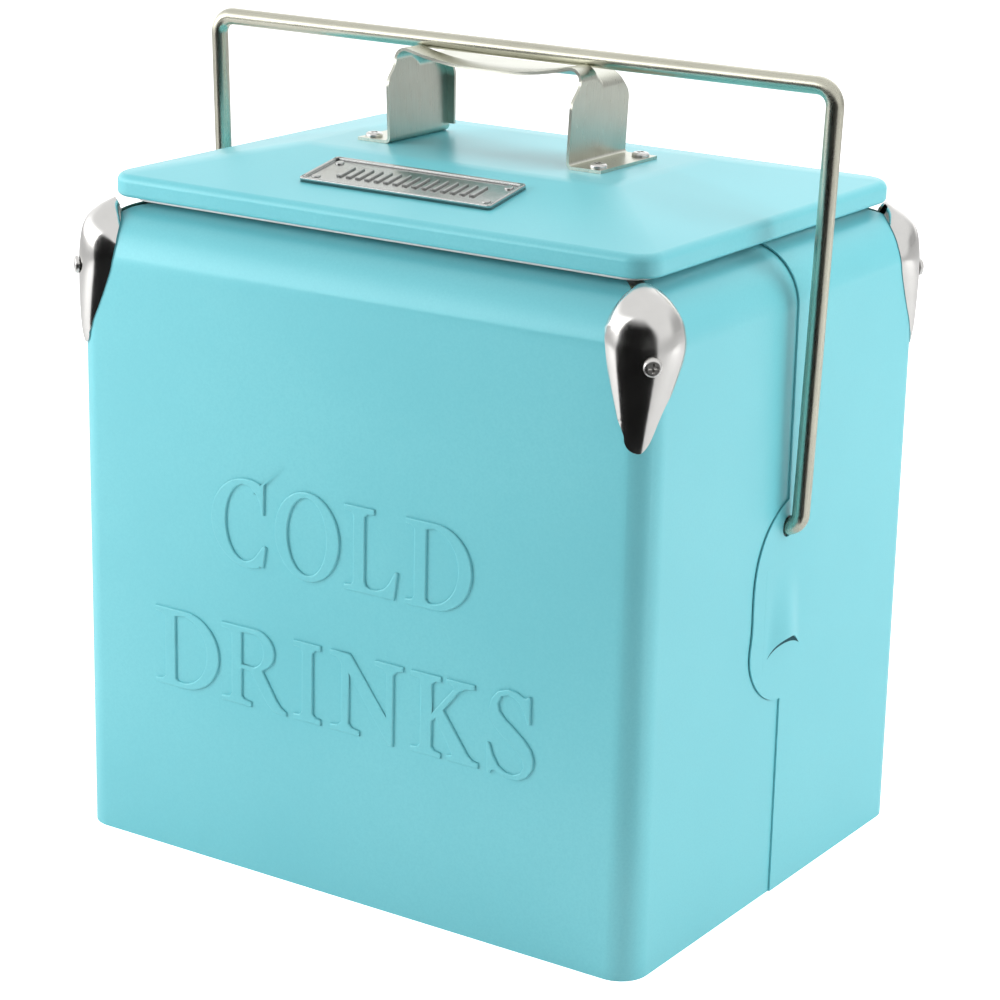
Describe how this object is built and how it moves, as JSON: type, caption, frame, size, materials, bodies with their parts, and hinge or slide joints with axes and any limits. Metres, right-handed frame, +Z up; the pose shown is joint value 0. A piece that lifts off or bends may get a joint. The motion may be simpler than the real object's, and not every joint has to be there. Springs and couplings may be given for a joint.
{
  "type": "picnic cooler",
  "caption": "Insulated steel picnic cooler with a rolled-edge body, a lift-off lid with a strap handle, bright corner guards, a side bottle opener and a swinging bail that holds the lid down.",
  "frame": {"origin": "middle of the underside, halfway along the length and the depth", "axes": "+X along the long side towards the bottle opener, -Y out of the embossed front, +Z up"},
  "size_m": [0.3638, 0.2682, 0.4025],
  "materials": {
    "paint": "satin powder coat, light turquoise",
    "zinc": "dull zinc plated",
    "liner": "moulded white, soft gloss",
    "foam": "rigid insulating foam",
    "guard": "polished",
    "seal": "soft, light grey",
    "steel": "brushed, warm grey",
    "plate": "satin, raised border"
  },
  "bodies": {
    "chest": {"front_shell": "paint", "rear_shell": "paint", "base_pan": "zinc", "liner_tub": "liner", "foam_floor": "foam", "foam_front": "foam", "foam_rear": "foam", "foam_left": "foam", "foam_right": "foam", "pivot_plate_left": "zinc", "pivot_plate_right": "zinc", "corner_guard_front_left": "guard", "corner_guard_front_right": "guard", "corner_guard_rear_left": "guard", "corner_guard_rear_right": "guard", "guard_screws": "guard", "guard_nuts": "zinc"},
    "lid": {"lid_shell": "paint", "lid_liner": "liner", "lid_foam": "foam", "lid_gasket": "seal", "lid_handle": "steel", "handle_screws": "guard", "handle_nuts": "zinc", "name_plate": "plate", "plate_rivets": "plate"},
    "bail": {"bail": "steel"}
  },
  "joints": [
    {"name": "bail_swing", "type": "hinge", "parent": "chest", "child": "bail", "pos_m": [0, 0, 0.1885], "axis": [-1, 0, 0], "range_deg": [0, 139.5]},
    {"name": "lid_lift", "type": "slide", "parent": "chest", "child": "lid", "axis": [0, 0, 1], "range_m": [0, 0.042]}
  ],
  "couplings": [
    {"joint": "lid_lift", "follows": "bail_swing", "m_per_rad": 0.0172}
  ]
}
